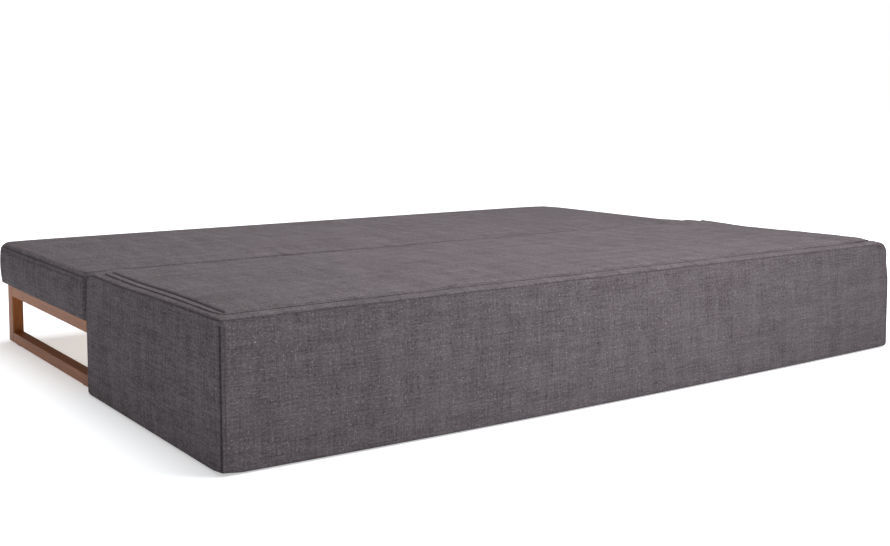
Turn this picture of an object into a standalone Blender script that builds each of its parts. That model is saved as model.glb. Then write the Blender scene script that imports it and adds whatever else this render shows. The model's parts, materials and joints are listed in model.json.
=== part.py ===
# A futon sofa bed, laid flat as a bed.
# A thin seat on open timber loops, and a full-height upholstered back that hinges up from the floor.
# Metres, +Z up. X runs along the width, the seat lies towards +Y and the back towards -Y.
# The origin is on the floor, below the middle of the whole bed.

import math

import bmesh
import bpy
from mathutils import Euler, Vector

# ---- driving dimensions ----
WIDTH = 2.03
BACK_DEPTH = 0.760
SEAT_DEPTH = 0.746
HEIGHT = 0.290
JUNCTION_GAP = 0.006
TOUCH = 0.0003            # gap between pieces that touch
COVER = 0.0025            # cover cloth with its lining
LINING = 0.0020           # room between a cover and what it wraps

# seat
SEAT_BOTTOM = 0.1745
DECK = 0.012
TOPPER = 0.018
SEAT_ROLL = 0.036         # roll of the seat's free long edge
SEAT_CORNER = 0.040

# timber loops
LOOP_INSET = 0.020
BOARD = 0.030
POST = 0.043
RAIL_HIGH = 0.0375
RAIL_LOW = 0.030
PAD = 0.003
PAD_WIDE = 0.022
PAD_LONG = 0.030
PAD_SET_IN = 0.080
LOOP_TOP = SEAT_BOTTOM - 0.0005
BEAM = 0.045
STRETCHER = 0.040
LEG = 0.040
NEAR_SET_IN = 0.005       # frame behind the seat's junction face
FAR_SET_IN = 0.002        # frame behind the seat's free edge
ARRIS = 0.0015            # eased edges of the walnut boards
HINGE_CLEAR = 0.012

# back
HEM = 0.008
BACK_ROLL = 0.030         # roll of the edge that turns past the seat
EDGE_ROLL = 0.012
SHOULDER = 0.030          # softer roll over the back's right end
BACK_FOAM = 0.0335
BACK_DECK = 0.009
PANEL = 0.015
WRAP = 0.010
PANEL_BOTTOM = 0.010
GLIDE_RADIUS = 0.014
GLIDE_EDGE = 0.003
GLIDE_SET_IN = 0.060
DUST_CLOTH = 0.001
DUST_SET_IN = 0.100
ROLL_STEPS = 4

# hinges
HINGE_X = 0.800
PIVOT_BACK = 0.057        # from the back's junction face to the pin
PIVOT_DOWN = 0.045        # from the top to the pin
PLATE = 0.005
HUB = 0.018
PIN = 0.006
PIN_HOLE = 0.0064
PIN_HEAD = 0.0095
PIN_HEAD_THICK = 0.004
ARM_DROP = 0.109
ARM_HIGH = 0.030
ARM_INTO_SEAT = 0.280
ARM_FILLET = 0.008
ARM_CHAMFER = 0.010
LOBE = 0.011              # the arm's ear that carries the pawl pin
LOBE_RISE = 0.020
LOBE_FALL = 0.024
RIM = 0.045
ROOT_RADIUS = 0.036
TOOTH_FLOOR = 0.0408
TOOTH_TOP = 0.0415
UPRIGHT = 80
CLICK_STEP = 12
CLICKS = 3
HALF_NOTCH = 3.2
RIM_BEFORE = 10
RIM_AFTER = 12
ROOT_FROM = 230
ROOT_TO = 312
PAWL_Y = -0.033
PAWL_Z = -0.046
PAWL_HUB = 0.008
PAWL_PIN = 0.003
PAWL_HOLE = 0.0034
PAWL_PIN_HEAD = 0.0055
PAWL_PIN_THICK = 0.003
PAWL_TOOTH = 0.0017       # half the width of the tooth
PAWL_TIP = (0.004, -0.0475)
PAWL_TIP_LOW = -0.052
PAWL_SHOULDER = -0.0468
PAWL_NECK = (-0.012, -0.0485)
PAWL_SWING = 9
TAIL_LONG = 0.300
TAIL_TOP = -0.004
TAIL_HIGH = 0.030
TAIL_NECK = 0.030
BOLT_HOLE = 0.0045
BOLT = 0.0042
BOLT_HEAD = 0.0075
HEAD_THICK = 0.0038
BOLT_PITCH = 0.150
BOLTS = 2
FIRST_BOLT = 0.120
FIRST_TAIL_BOLT = 0.100
SLOT_NEAR = 0.0075        # slots in the junction face, round the fixed arms
SLOT_CLEAR = 0.0002
SLOT_BELOW = 0.006
SLOT_ABOVE = 0.0135
SLOT_DEEP = 0.030
POCKET_ABOVE = 0.0215
POCKET_DEEP = 0.050
SLOT_PAST = 0.020

# ---- worked out from them ----
half_width = WIDTH / 2
half_depth = (BACK_DEPTH + JUNCTION_GAP + SEAT_DEPTH) / 2
back_near = BACK_DEPTH - half_depth
seat_near = back_near + JUNCTION_GAP
pivot_y = back_near - PIVOT_BACK
pivot_z = HEIGHT - PIVOT_DOWN
foam_bottom = HEIGHT - COVER - LINING - BACK_FOAM
back_deck_bottom = foam_bottom - TOUCH - BACK_DECK
panel_top = back_deck_bottom - TOUCH
skin = COVER + LINING
plate_step = PLATE + 0.001
moving_x = HINGE_X + plate_step
rib_x = moving_x + PLATE / 2 + TOUCH + PANEL / 2
frame_near = seat_near + NEAR_SET_IN
frame_far = half_depth - FAR_SET_IN


def clear_scene():
    for item in list(bpy.data.objects):
        bpy.data.objects.remove(item, do_unlink=True)


def new_collection(name):
    made = bpy.data.collections.new(name)
    bpy.context.scene.collection.children.link(made)
    return made


def make_material(name, color, roughness, metallic=0.0):
    made = bpy.data.materials.new(name)
    made.use_nodes = True
    shader = made.node_tree.nodes["Principled BSDF"]
    shader.inputs["Base Color"].default_value = (*color, 1.0)
    shader.inputs["Roughness"].default_value = roughness
    shader.inputs["Metallic"].default_value = metallic
    return made


def add_pivot(name, location):
    empty = bpy.data.objects.new(name, None)
    empty.location = location
    empty.empty_display_size = 0.05
    parts.objects.link(empty)
    return empty


def add_object(name, data, location, material, pivot=None, group=None):
    made = bpy.data.objects.new(name, data)
    (group or parts).objects.link(made)
    if material:
        data.materials.append(material)
    if pivot:
        made.parent = pivot
        made.location = Vector(location) - pivot.location
    else:
        made.location = location
    return made


def cube_mesh(name, size):
    mesh = bpy.data.meshes.new(name)
    shape = bmesh.new()
    bmesh.ops.create_cube(shape, size=1.0)
    bmesh.ops.scale(shape, vec=size, verts=shape.verts)
    shape.to_mesh(mesh)
    shape.free()
    return mesh


def add_box(name, low, high, material, pivot=None, bevel=0.0, group=None):
    low = Vector(low)
    high = Vector(high)
    made = add_object(name, cube_mesh(name, high - low), (low + high) / 2, material, pivot, group)
    if bevel:
        rounding = made.modifiers.new("edges", "BEVEL")
        rounding.width = bevel
        rounding.segments = 1
    return made


def add_board(name, side, x_near, x_far, low_yz, high_yz, material, pivot=None, bevel=0.0):
    # a board given by its distances from the middle, on either side of it
    x_ends = sorted((side * x_near, side * x_far))
    low = (x_ends[0], *low_yz)
    high = (x_ends[1], *high_yz)
    return add_box(name, low, high, material, pivot, bevel)


def add_cutter(name, low, high):
    cutter = add_box(name, low, high, None, group=cutters)
    cutter.hide_render = True
    cutter.display_type = "WIRE"
    return cutter


def cut(item, cutter):
    boolean = item.modifiers.new(cutter.name, "BOOLEAN")
    boolean.operation = "DIFFERENCE"
    boolean.solver = "EXACT"
    boolean.object = cutter


def edge_place(edge, size):
    # the middle of an edge as signs: -1, 0 or 1 on each axis
    middle = (edge.verts[0].co + edge.verts[1].co) / 2
    return tuple(round(2 * middle[axis] / size[axis]) for axis in range(3))


def add_soft_box(name, low, high, rolls, material, pivot=None, hollow=False):
    # rolls gives the radius of each edge, by the signs of its middle; a hollow one is open below
    low = Vector(low)
    high = Vector(high)
    size = high - low
    mesh = bpy.data.meshes.new(name)
    shape = bmesh.new()
    bmesh.ops.create_cube(shape, size=1.0)
    bmesh.ops.scale(shape, vec=size, verts=shape.verts)
    widest = max(rolls.values())
    weights = shape.edges.layers.float.new("bevel_weight_edge")
    for edge in shape.edges:
        edge[weights] = rolls.get(edge_place(edge, size), 0.0) / widest
    if hollow:
        floor_faces = [face for face in shape.faces if face.normal.z < -0.5]
        bmesh.ops.delete(shape, geom=floor_faces, context="FACES")
    shape.to_mesh(mesh)
    shape.free()
    made = add_object(name, mesh, (low + high) / 2, material, pivot)
    rounding = made.modifiers.new("rolls", "BEVEL")
    rounding.limit_method = "WEIGHT"
    rounding.width = widest
    rounding.segments = ROLL_STEPS
    if hollow:
        cloth = made.modifiers.new("cloth", "SOLIDIFY")
        cloth.thickness = COVER
        cloth.offset = -1.0
        cloth.use_even_offset = True
    return made


def upright_rolls(rolls):
    return {place: radius for place, radius in rolls.items() if place[2] == 0}


def arc(centre, radius, start, end, steps):
    points = []
    for index in range(steps + 1):
        angle = math.radians(start + (end - start) * index / steps)
        points.append((centre[0] + radius * math.cos(angle), centre[1] + radius * math.sin(angle)))
    return points


def turn_points(points, centre, degrees):
    angle = math.radians(degrees)
    turned = []
    for y, z in points:
        dy = y - centre[0]
        dz = z - centre[1]
        turned.append((centre[0] + dy * math.cos(angle) - dz * math.sin(angle),
                       centre[1] + dy * math.sin(angle) + dz * math.cos(angle)))
    return turned


def add_spline(curve, points):
    spline = curve.splines.new("POLY")
    spline.points.add(len(points) - 1)
    for point, (y, z) in zip(spline.points, points):
        point.co = (y, z, 0.0, 1.0)
    spline.use_cyclic_u = True


def add_plate(name, outline, holes, location, material, pivot=None):
    # a steel plate in the YZ plane; the outline and holes are measured from its location
    curve = bpy.data.curves.new(name, "CURVE")
    curve.dimensions = "2D"
    curve.fill_mode = "BOTH"
    curve.extrude = PLATE / 2
    add_spline(curve, outline)
    for centre, radius in holes:
        add_spline(curve, arc(centre, radius, 0, 345, 23))
    made = add_object(name, curve, location, material, pivot)
    made.rotation_euler = Euler((math.radians(90), 0.0, math.radians(90)))
    return made


def add_turned(name, profile, place, material, pivot=None, flip=1, steps=16, axis="X"):
    # a turned solid; the profile is (radius, distance along the axis) from its place
    mesh = bpy.data.meshes.new(name)
    shape = bmesh.new()
    verts = []
    for radius, along in profile:
        point = (flip * along, radius, 0.0) if axis == "X" else (radius, 0.0, flip * along)
        verts.append(shape.verts.new(point))
    edges = [shape.edges.new(pair) for pair in zip(verts, verts[1:])]
    spin_axis = (1.0, 0.0, 0.0) if axis == "X" else (0.0, 0.0, 1.0)
    bmesh.ops.spin(shape, geom=verts + edges, cent=(0.0, 0.0, 0.0), axis=spin_axis,
                   angle=math.tau, steps=steps, use_merge=True)
    bmesh.ops.remove_doubles(shape, verts=shape.verts, dist=0.00001)
    bmesh.ops.recalc_face_normals(shape, faces=shape.faces)
    shape.to_mesh(mesh)
    shape.free()
    mesh.shade_smooth()
    mesh.set_sharp_from_angle(angle=math.radians(40))
    return add_object(name, mesh, place, material, pivot)


def headed_pin(radius, head_radius, head, length):
    # a head at the start, then the shank
    top = [(0.0, -head), (head_radius, -head), (head_radius, 0.0)]
    return top + [(radius, 0.0), (radius, length), (0.0, length)]


# ---- seat: timber loops ----
def build_loops():
    outer = half_width - LOOP_INSET
    inner = outer - BOARD
    near = frame_near
    far = frame_far
    low_top = PAD + RAIL_LOW
    high_bottom = LOOP_TOP - RAIL_HIGH
    for label, side in (("left", -1), ("right", 1)):
        add_board(f"loop_near_post_{label}", side, inner, outer, (near, PAD),
                  (near + POST, LOOP_TOP), walnut, bevel=ARRIS)
        add_board(f"loop_far_post_{label}", side, inner, outer, (far - POST, PAD),
                  (far, LOOP_TOP), walnut, bevel=ARRIS)
        add_board(f"loop_bottom_rail_{label}", side, inner, outer, (near + POST + TOUCH, PAD),
                  (far - POST - TOUCH, low_top), walnut, bevel=ARRIS)
        add_board(f"loop_top_rail_{label}", side, inner, outer, (near + POST + TOUCH, high_bottom),
                  (far - POST - TOUCH, LOOP_TOP), walnut, bevel=ARRIS)


# ---- seat: beams, legs and pads ----
def build_seat_frame():
    loop_inner = half_width - LOOP_INSET - BOARD - TOUCH
    beam_bottom = LOOP_TOP - RAIL_HIGH
    near = frame_near
    far = frame_far
    stretcher_far = HINGE_X - PLATE / 2 - TOUCH
    stretcher_near = stretcher_far - STRETCHER
    short_near = HINGE_X + HINGE_CLEAR
    add_box("seat_beam_far", (-loop_inner, far - BEAM, beam_bottom), (loop_inner, far, LOOP_TOP), walnut,
            bevel=ARRIS)
    add_box("seat_beam_near", (-stretcher_near + TOUCH, near, beam_bottom),
            (stretcher_near - TOUCH, near + BEAM, LOOP_TOP), pine)
    stretcher_low = (near, beam_bottom)
    stretcher_high = (far - BEAM - TOUCH, LOOP_TOP)
    for label, side in (("left", -1), ("right", 1)):
        add_board(f"seat_stretcher_{label}", side, stretcher_near, stretcher_far, stretcher_low,
                  stretcher_high, pine)
        add_board(f"seat_beam_near_{label}", side, short_near, loop_inner, (near, beam_bottom),
                  (near + BEAM, LOOP_TOP), pine)
    add_box("seat_stretcher_middle", (-STRETCHER / 2, near + BEAM + TOUCH, beam_bottom),
            (STRETCHER / 2, far - BEAM - TOUCH, LOOP_TOP), pine)
    leg_top = beam_bottom - TOUCH
    leg_y = (near + far) / 2
    add_box("seat_middle_leg", (-LEG / 2, leg_y - LEG / 2, 0.0), (LEG / 2, leg_y + LEG / 2, leg_top), walnut)
    pad_x = half_width - LOOP_INSET - BOARD / 2
    for row, y in (("near", near + PAD_SET_IN), ("far", far - PAD_SET_IN)):
        for label, side in (("left", -1), ("right", 1)):
            add_board(f"floor_pad_{row}_{label}", side, pad_x - PAD_WIDE / 2, pad_x + PAD_WIDE / 2,
                      (y - PAD_LONG / 2, 0.0), (y + PAD_LONG / 2, PAD - TOUCH), felt)


# ---- seat: deck, foam and cover ----
def build_seat_upholstery():
    low = (-half_width, seat_near, SEAT_BOTTOM)
    high = (half_width, half_depth, HEIGHT)
    rolls = {(0, 1, 1): SEAT_ROLL, (0, -1, 1): EDGE_ROLL, (-1, 0, 1): EDGE_ROLL, (1, 0, 1): EDGE_ROLL,
             (-1, 1, 0): SEAT_CORNER, (1, 1, 0): SEAT_CORNER, (-1, -1, 0): EDGE_ROLL, (1, -1, 0): EDGE_ROLL}
    add_soft_box("seat_cover", low, high, rolls, cloth, hollow=True)
    inner_low = Vector((low[0] + skin, low[1] + skin, 0.0))
    inner_high = Vector((high[0] - skin, high[1] - skin, HEIGHT - skin))
    deck_bottom = SEAT_BOTTOM + TOUCH
    deck_top = deck_bottom + DECK
    corner = upright_rolls(rolls)
    add_soft_box("seat_deck", (inner_low.x, inner_low.y, deck_bottom),
                 (inner_high.x, inner_high.y, deck_top), corner, plywood)
    topper_bottom = inner_high.z - SEAT_ROLL - TOPPER
    add_soft_box("seat_foam_core", (inner_low.x, inner_low.y, deck_top + TOUCH),
                 (inner_high.x, inner_high.y, topper_bottom - TOUCH), corner, foam)
    add_soft_box("seat_foam_topper", (inner_low.x, inner_low.y, topper_bottom), inner_high,
                 rolls, soft_foam)


# ---- back: timber carcass ----
def build_carcass(pivot, pockets):
    outer = half_width - skin - WRAP - TOUCH
    front = -half_depth + skin + WRAP + TOUCH
    junction = back_near - skin
    inner_low_y = front + PANEL + TOUCH
    inner_high_y = junction - PANEL - TOUCH
    add_box("back_panel_front", (-outer, front, PANEL_BOTTOM), (outer, front + PANEL, panel_top),
            plywood, pivot)
    junction_panel = add_box("back_panel_junction", (-outer, junction - PANEL, PANEL_BOTTOM),
                             (outer, junction, panel_top), plywood, pivot)
    for pocket in pockets:
        cut(junction_panel, pocket)
    for label, side in (("left", -1), ("right", 1)):
        add_board(f"back_end_{label}", side, outer - PANEL, outer, (inner_low_y, PANEL_BOTTOM),
                  (inner_high_y, panel_top), plywood, pivot)
        add_board(f"back_hinge_rib_{label}", side, rib_x - PANEL / 2, rib_x + PANEL / 2,
                  (inner_low_y, PANEL_BOTTOM), (inner_high_y, panel_top), plywood, pivot)
    add_box("back_middle_rib", (-PANEL / 2, inner_low_y, PANEL_BOTTOM), (PANEL / 2, inner_high_y, panel_top),
            plywood, pivot)
    glide_top = PANEL_BOTTOM - TOUCH
    glide = [(0.0, 0.0), (GLIDE_RADIUS - GLIDE_EDGE, 0.0), (GLIDE_RADIUS, GLIDE_EDGE),
             (GLIDE_RADIUS, glide_top), (0.0, glide_top)]
    for row, y in (("front", inner_low_y + GLIDE_SET_IN), ("junction", inner_high_y - GLIDE_SET_IN)):
        for label, side in (("left", -1), ("right", 1)):
            place = (side * (outer - PANEL / 2), y, 0.0)
            add_turned(f"back_glide_{row}_{label}", glide, place, nylon, pivot, axis="Z")


# ---- back: deck, foam, wraps, cover and dust cloth ----
def build_back_upholstery(pivot, pockets, slots):
    low = (-half_width, -half_depth, HEM)
    high = (half_width, back_near, HEIGHT)
    rolls = {(0, 1, 1): BACK_ROLL, (0, -1, 1): EDGE_ROLL, (-1, 0, 1): EDGE_ROLL, (1, 0, 1): SHOULDER,
             (-1, 1, 0): EDGE_ROLL, (1, 1, 0): EDGE_ROLL, (-1, -1, 0): EDGE_ROLL, (1, -1, 0): EDGE_ROLL}
    cover = add_soft_box("back_cover", low, high, rolls, cloth, pivot, hollow=True)
    for slot in slots:
        cut(cover, slot)
    inner_x = half_width - skin
    inner_low_y = -half_depth + skin
    inner_high_y = back_near - skin
    foam_rolls = {**rolls, (-1, 1, 0): BACK_ROLL, (1, 1, 0): BACK_ROLL}
    pad = add_soft_box("back_foam", (-inner_x, inner_low_y, foam_bottom),
                       (inner_x, inner_high_y, HEIGHT - skin), foam_rolls, soft_foam, pivot)
    deck = add_soft_box("back_deck", (-inner_x, inner_low_y, back_deck_bottom),
                        (inner_x, inner_high_y, back_deck_bottom + BACK_DECK), upright_rolls(rolls),
                        plywood, pivot)
    for pocket in pockets:
        cut(pad, pocket)
        cut(deck, pocket)
    wrap_x = inner_x - EDGE_ROLL
    add_box("back_wrap_front", (-wrap_x, inner_low_y, PANEL_BOTTOM), (wrap_x, inner_low_y + WRAP, panel_top),
            foam, pivot)
    for label, side in (("left", -1), ("right", 1)):
        wrap_low = (inner_low_y + EDGE_ROLL, PANEL_BOTTOM)
        wrap_high = (inner_high_y - EDGE_ROLL, panel_top)
        add_board(f"back_wrap_{label}", side, inner_x - WRAP, inner_x, wrap_low, wrap_high, foam, pivot)
    cloth_x = inner_x - DUST_SET_IN
    cloth_high = PANEL_BOTTOM - TOUCH
    add_box("back_dust_cloth", (-cloth_x, inner_low_y + DUST_SET_IN, cloth_high - DUST_CLOTH),
            (cloth_x, inner_high_y - DUST_SET_IN, cloth_high), lining, pivot)


# ---- hinges: fixed arm, ratchet plate, pawl, pins and bolts ----
def arm_outline():
    reach = ARM_INTO_SEAT - pivot_y
    top = -ARM_DROP + ARM_HIGH
    lobe = arc((PAWL_Y, PAWL_Z), LOBE, 100, 260, 8)
    points = [(reach, -ARM_DROP), (reach, top), (HUB + ARM_FILLET, top), (HUB, top + ARM_FILLET)]
    points += arc((0.0, 0.0), HUB, 0, 180, 12)
    points += [(-HUB, PAWL_Z + LOBE_RISE)]
    points += lobe
    points += [(-HUB, PAWL_Z - LOBE_FALL), (-HUB, -ARM_DROP + ARM_CHAMFER)]
    points += [(-HUB + ARM_CHAMFER, -ARM_DROP)]
    return points


def ratchet_outline():
    tail_bottom = TAIL_TOP - TAIL_HIGH
    points = [(-TAIL_LONG, TAIL_TOP), (-TAIL_LONG, tail_bottom), (-TAIL_NECK, tail_bottom)]
    points += arc((0.0, 0.0), ROOT_RADIUS, ROOT_FROM, ROOT_TO, 8)
    first = 270 + UPRIGHT - CLICK_STEP * (CLICKS - 1)
    points += arc((0.0, 0.0), RIM, first - RIM_BEFORE, first - HALF_NOTCH, 1)
    for click in range(CLICKS):
        middle = first + click * CLICK_STEP
        points += arc((0.0, 0.0), TOOTH_FLOOR, middle - HALF_NOTCH, middle + HALF_NOTCH, 2)
        if click < CLICKS - 1:
            points += arc((0.0, 0.0), RIM, middle + HALF_NOTCH, middle + CLICK_STEP - HALF_NOTCH, 1)
    points += arc((0.0, 0.0), RIM, 270 + UPRIGHT + HALF_NOTCH, 270 + UPRIGHT + RIM_AFTER, 2)
    points += arc((0.0, 0.0), HUB, 30, 190, 10)
    return points


def pawl_outline():
    # drawn with its tooth home, then swung clear of the rim
    hub = (PAWL_Y, PAWL_Z)
    points = [(PAWL_TIP[0], PAWL_TIP_LOW), PAWL_TIP, (PAWL_TOOTH, PAWL_SHOULDER)]
    points += [(PAWL_TOOTH, -TOOTH_TOP), (-PAWL_TOOTH, -TOOTH_TOP), (-PAWL_TOOTH, PAWL_SHOULDER), PAWL_NECK]
    points += arc(hub, PAWL_HUB, 50, 290, 10)
    return turn_points([(y - PAWL_Y, z - PAWL_Z) for y, z in points], (0.0, 0.0), -PAWL_SWING)


def build_hinge(label, side, pivot):
    hub_place = (side * HINGE_X, pivot_y, pivot_z)
    moving_place = (side * moving_x, pivot_y, pivot_z)
    pawl_pivot = add_pivot(f"pawl_pivot_{label}", (side * moving_x, pivot_y + PAWL_Y, pivot_z + PAWL_Z))
    arm_mid = -ARM_DROP + ARM_HIGH / 2
    arm_bolts = [(FIRST_BOLT + BOLT_PITCH * index, arm_mid) for index in range(BOLTS)]
    arm_holes = [((0.0, 0.0), PIN_HOLE), ((PAWL_Y, PAWL_Z), PAWL_HOLE)]
    arm_holes += [(place, BOLT_HOLE) for place in arm_bolts]
    add_plate(f"hinge_arm_{label}", arm_outline(), arm_holes, hub_place, steel)
    tail_mid = TAIL_TOP - TAIL_HIGH / 2
    tail_bolts = [(-FIRST_TAIL_BOLT - BOLT_PITCH * index, tail_mid) for index in range(BOLTS)]
    plate_holes = [((0.0, 0.0), PIN_HOLE)] + [(place, BOLT_HOLE) for place in tail_bolts]
    add_plate(f"ratchet_plate_{label}", ratchet_outline(), plate_holes, moving_place, steel, pivot)
    add_plate(f"ratchet_pawl_{label}", pawl_outline(), [((0.0, 0.0), PAWL_HOLE)],
              pawl_pivot.location, zinc, pawl_pivot)
    pin_length = plate_step + PLATE + TOUCH / 2 + TOUCH
    start = side * (HINGE_X - PLATE / 2 - TOUCH)
    add_turned(f"hinge_pin_{label}", headed_pin(PIN, PIN_HEAD, PIN_HEAD_THICK, pin_length),
               (start, pivot_y, pivot_z), zinc, flip=side, steps=24)
    add_turned(f"pawl_pin_{label}", headed_pin(PAWL_PIN, PAWL_PIN_HEAD, PAWL_PIN_THICK, pin_length),
               (start, pivot_y + PAWL_Y, pivot_z + PAWL_Z), zinc, flip=side)
    bolt = headed_pin(BOLT, BOLT_HEAD, HEAD_THICK, PLATE)
    arm_face = side * (HINGE_X + PLATE / 2 + TOUCH)
    tail_face = side * (moving_x - PLATE / 2 - TOUCH)
    for index in range(BOLTS):
        y, z = arm_bolts[index]
        add_turned(f"seat_hinge_bolt_{label}_{index + 1}", bolt, (arm_face, pivot_y + y, pivot_z + z),
                   zinc, flip=-side)
        y, z = tail_bolts[index]
        add_turned(f"back_hinge_bolt_{label}_{index + 1}", bolt, (tail_face, pivot_y + y, pivot_z + z),
                   zinc, pivot, flip=side)


def build_cutters():
    pockets = []
    slots = []
    slot_near = HINGE_X - SLOT_NEAR
    slot_far = moving_x + PLATE / 2 + SLOT_CLEAR
    slot_low = pivot_z - ARM_DROP - SLOT_BELOW
    for label, side in (("left", -1), ("right", 1)):
        x_low, x_high = sorted((side * slot_near, side * slot_far))
        pockets.append(add_cutter(f"pocket_{label}", (x_low, pivot_y - POCKET_DEEP, slot_low),
                                  (x_high, SLOT_PAST, pivot_z + POCKET_ABOVE)))
        slots.append(add_cutter(f"slot_{label}", (x_low, -SLOT_DEEP, slot_low),
                                (x_high, SLOT_PAST, pivot_z + SLOT_ABOVE)))
    return pockets, slots


clear_scene()
parts = new_collection("futon_sofa_bed")
cutters = new_collection("cutters")
cloth = make_material("charcoal_weave", (0.115, 0.100, 0.108), 0.92)
walnut = make_material("oiled_walnut", (0.26, 0.125, 0.062), 0.5)
pine = make_material("pine", (0.62, 0.45, 0.27), 0.7)
plywood = make_material("plywood", (0.58, 0.43, 0.28), 0.7)
foam = make_material("foam", (0.80, 0.78, 0.70), 0.95)
soft_foam = make_material("soft_foam", (0.86, 0.85, 0.80), 0.95)
lining = make_material("black_lining", (0.02, 0.02, 0.02), 0.95)
felt = make_material("felt", (0.10, 0.07, 0.05), 0.95)
nylon = make_material("nylon", (0.03, 0.03, 0.03), 0.5)
steel = make_material("black_steel", (0.05, 0.05, 0.055), 0.45, 0.6)
zinc = make_material("zinc", (0.60, 0.60, 0.58), 0.35, 1.0)
back_pivot = add_pivot("back_pivot", (0.0, pivot_y, pivot_z))
pocket_cutters, slot_cutters = build_cutters()
build_loops()
build_seat_frame()
build_seat_upholstery()
build_carcass(back_pivot, pocket_cutters)
build_back_upholstery(back_pivot, pocket_cutters, slot_cutters)
build_hinge("left", -1, back_pivot)
build_hinge("right", 1, back_pivot)
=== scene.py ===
import json
import math
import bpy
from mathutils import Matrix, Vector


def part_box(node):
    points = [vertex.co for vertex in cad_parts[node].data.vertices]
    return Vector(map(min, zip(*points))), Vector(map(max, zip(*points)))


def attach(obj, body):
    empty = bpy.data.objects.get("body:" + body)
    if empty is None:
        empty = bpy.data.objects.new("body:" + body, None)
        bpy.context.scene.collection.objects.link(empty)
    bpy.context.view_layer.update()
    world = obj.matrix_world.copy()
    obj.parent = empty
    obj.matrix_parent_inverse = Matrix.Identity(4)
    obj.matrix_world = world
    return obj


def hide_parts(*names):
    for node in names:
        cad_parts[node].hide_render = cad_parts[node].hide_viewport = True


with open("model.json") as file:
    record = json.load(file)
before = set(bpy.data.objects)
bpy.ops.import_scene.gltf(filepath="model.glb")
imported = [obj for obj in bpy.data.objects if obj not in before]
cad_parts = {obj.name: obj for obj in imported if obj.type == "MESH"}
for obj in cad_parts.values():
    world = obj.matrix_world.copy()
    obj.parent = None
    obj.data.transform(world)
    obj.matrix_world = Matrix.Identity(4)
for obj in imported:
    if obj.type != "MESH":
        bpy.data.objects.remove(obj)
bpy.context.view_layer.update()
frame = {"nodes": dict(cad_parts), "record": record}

from types import SimpleNamespace

import bpy
import numpy as np
from mathutils import Euler, Vector, kdtree

nodes = frame["nodes"]
print("frame loaded:", len(nodes), "nodes")

# camera, floor, sky and lamps; angles in degrees
viewpoint = dict(place=(-1.9094, -2.7588, 0.7015), turn=-34.98, dip=4.665, roll=0.06, lens=48.05,
                 shiftY=-0.0876)
studio = dict(floorSize=60.0, floorTone=(0.84, 0.86, 0.885), floorRough=0.9, floorShine=0.1,
              floorDrop=0.0005, floorGlow=0.47, glowStart=1.3, glowEnd=3.2, skyForLight=0.215, skySeen=1.0,
              topPower=166.0, topSize=3.4, topPlace=(0.45, -0.08, 3.1), topAim=(0.2, 0.0, 0.0),
              keyPower=14.5, keySize=0.8, keyPlace=(0.25, -1.75, 1.2), keyAim=(0.3, -0.7, 0.15))


def aim(item, target):
    item.rotation_euler = (Vector(target) - item.location).to_track_quat("-Z", "Y").to_euler()


def addCamera():
    data = bpy.data.cameras.new("camera")
    data.lens = viewpoint["lens"]
    data.shift_y = viewpoint["shiftY"]
    camera = bpy.data.objects.new("camera", data)
    bpy.context.scene.collection.objects.link(camera)
    camera.location = viewpoint["place"]
    camera.rotation_euler = Euler((math.radians(90 - viewpoint["dip"]), math.radians(viewpoint["roll"]),
                                   math.radians(viewpoint["turn"])))
    bpy.context.scene.camera = camera


def addAreaLight(name, place, size, power, target):
    data = bpy.data.lights.new(name, "AREA")
    data.size = size
    data.energy = power
    lamp = bpy.data.objects.new(name, data)
    bpy.context.scene.collection.objects.link(lamp)
    lamp.location = place
    lamp.visible_camera = False
    aim(lamp, target)


def addSky():
    world = bpy.data.worlds.new("softSky")
    bpy.context.scene.world = world
    world.use_nodes = True
    tree = world.node_tree
    background = tree.nodes["Background"]
    path = tree.nodes.new("ShaderNodeLightPath")
    strength = tree.nodes.new("ShaderNodeMapRange")
    strength.inputs["To Min"].default_value = studio["skyForLight"]
    strength.inputs["To Max"].default_value = studio["skySeen"]
    tree.links.new(path.outputs["Is Camera Ray"], strength.inputs["Value"])
    tree.links.new(strength.outputs["Result"], background.inputs["Strength"])
    background.inputs["Color"].default_value = (1.0, 1.0, 1.0, 1.0)


def addFloor():
    # a pale sheet that glows to white away from the object
    half = studio["floorSize"] / 2
    mesh = bpy.data.meshes.new("floor")
    corners = [(-half, -half, 0), (half, -half, 0), (half, half, 0), (-half, half, 0)]
    mesh.from_pydata(corners, [], [(0, 1, 2, 3)])
    floor = bpy.data.objects.new("floor", mesh)
    bpy.context.scene.collection.objects.link(floor)
    paint, tree, shader = newMaterial("paleFloor", studio["floorRough"])
    shader.inputs["Base Color"].default_value = (*studio["floorTone"], 1.0)
    shader.inputs["Specular IOR Level"].default_value = studio["floorShine"]
    shader.inputs["Emission Color"].default_value = (1.0, 1.0, 1.0, 1.0)
    spot = tree.nodes.new("ShaderNodeTexCoord")
    reach = tree.nodes.new("ShaderNodeVectorMath")
    reach.operation = "LENGTH"
    tree.links.new(spot.outputs["Object"], reach.inputs[0])
    glow = tree.nodes.new("ShaderNodeMapRange")
    glow.interpolation_type = "SMOOTHSTEP"
    tree.links.new(reach.outputs["Value"], glow.inputs["Value"])
    glow.inputs["From Min"].default_value = studio["glowStart"]
    glow.inputs["From Max"].default_value = studio["glowEnd"]
    glow.inputs["To Min"].default_value = studio["floorGlow"]
    glow.inputs["To Max"].default_value = 1.0
    tree.links.new(glow.outputs["Result"], shader.inputs["Emission Strength"])
    mesh.materials.append(paint)
    floor.location.z = -studio["floorDrop"]


def addLamps():
    addAreaLight("topLight", studio["topPlace"], studio["topSize"], studio["topPower"], studio["topAim"])
    addAreaLight("keyLight", studio["keyPlace"], studio["keySize"], studio["keyPower"], studio["keyAim"])


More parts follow.
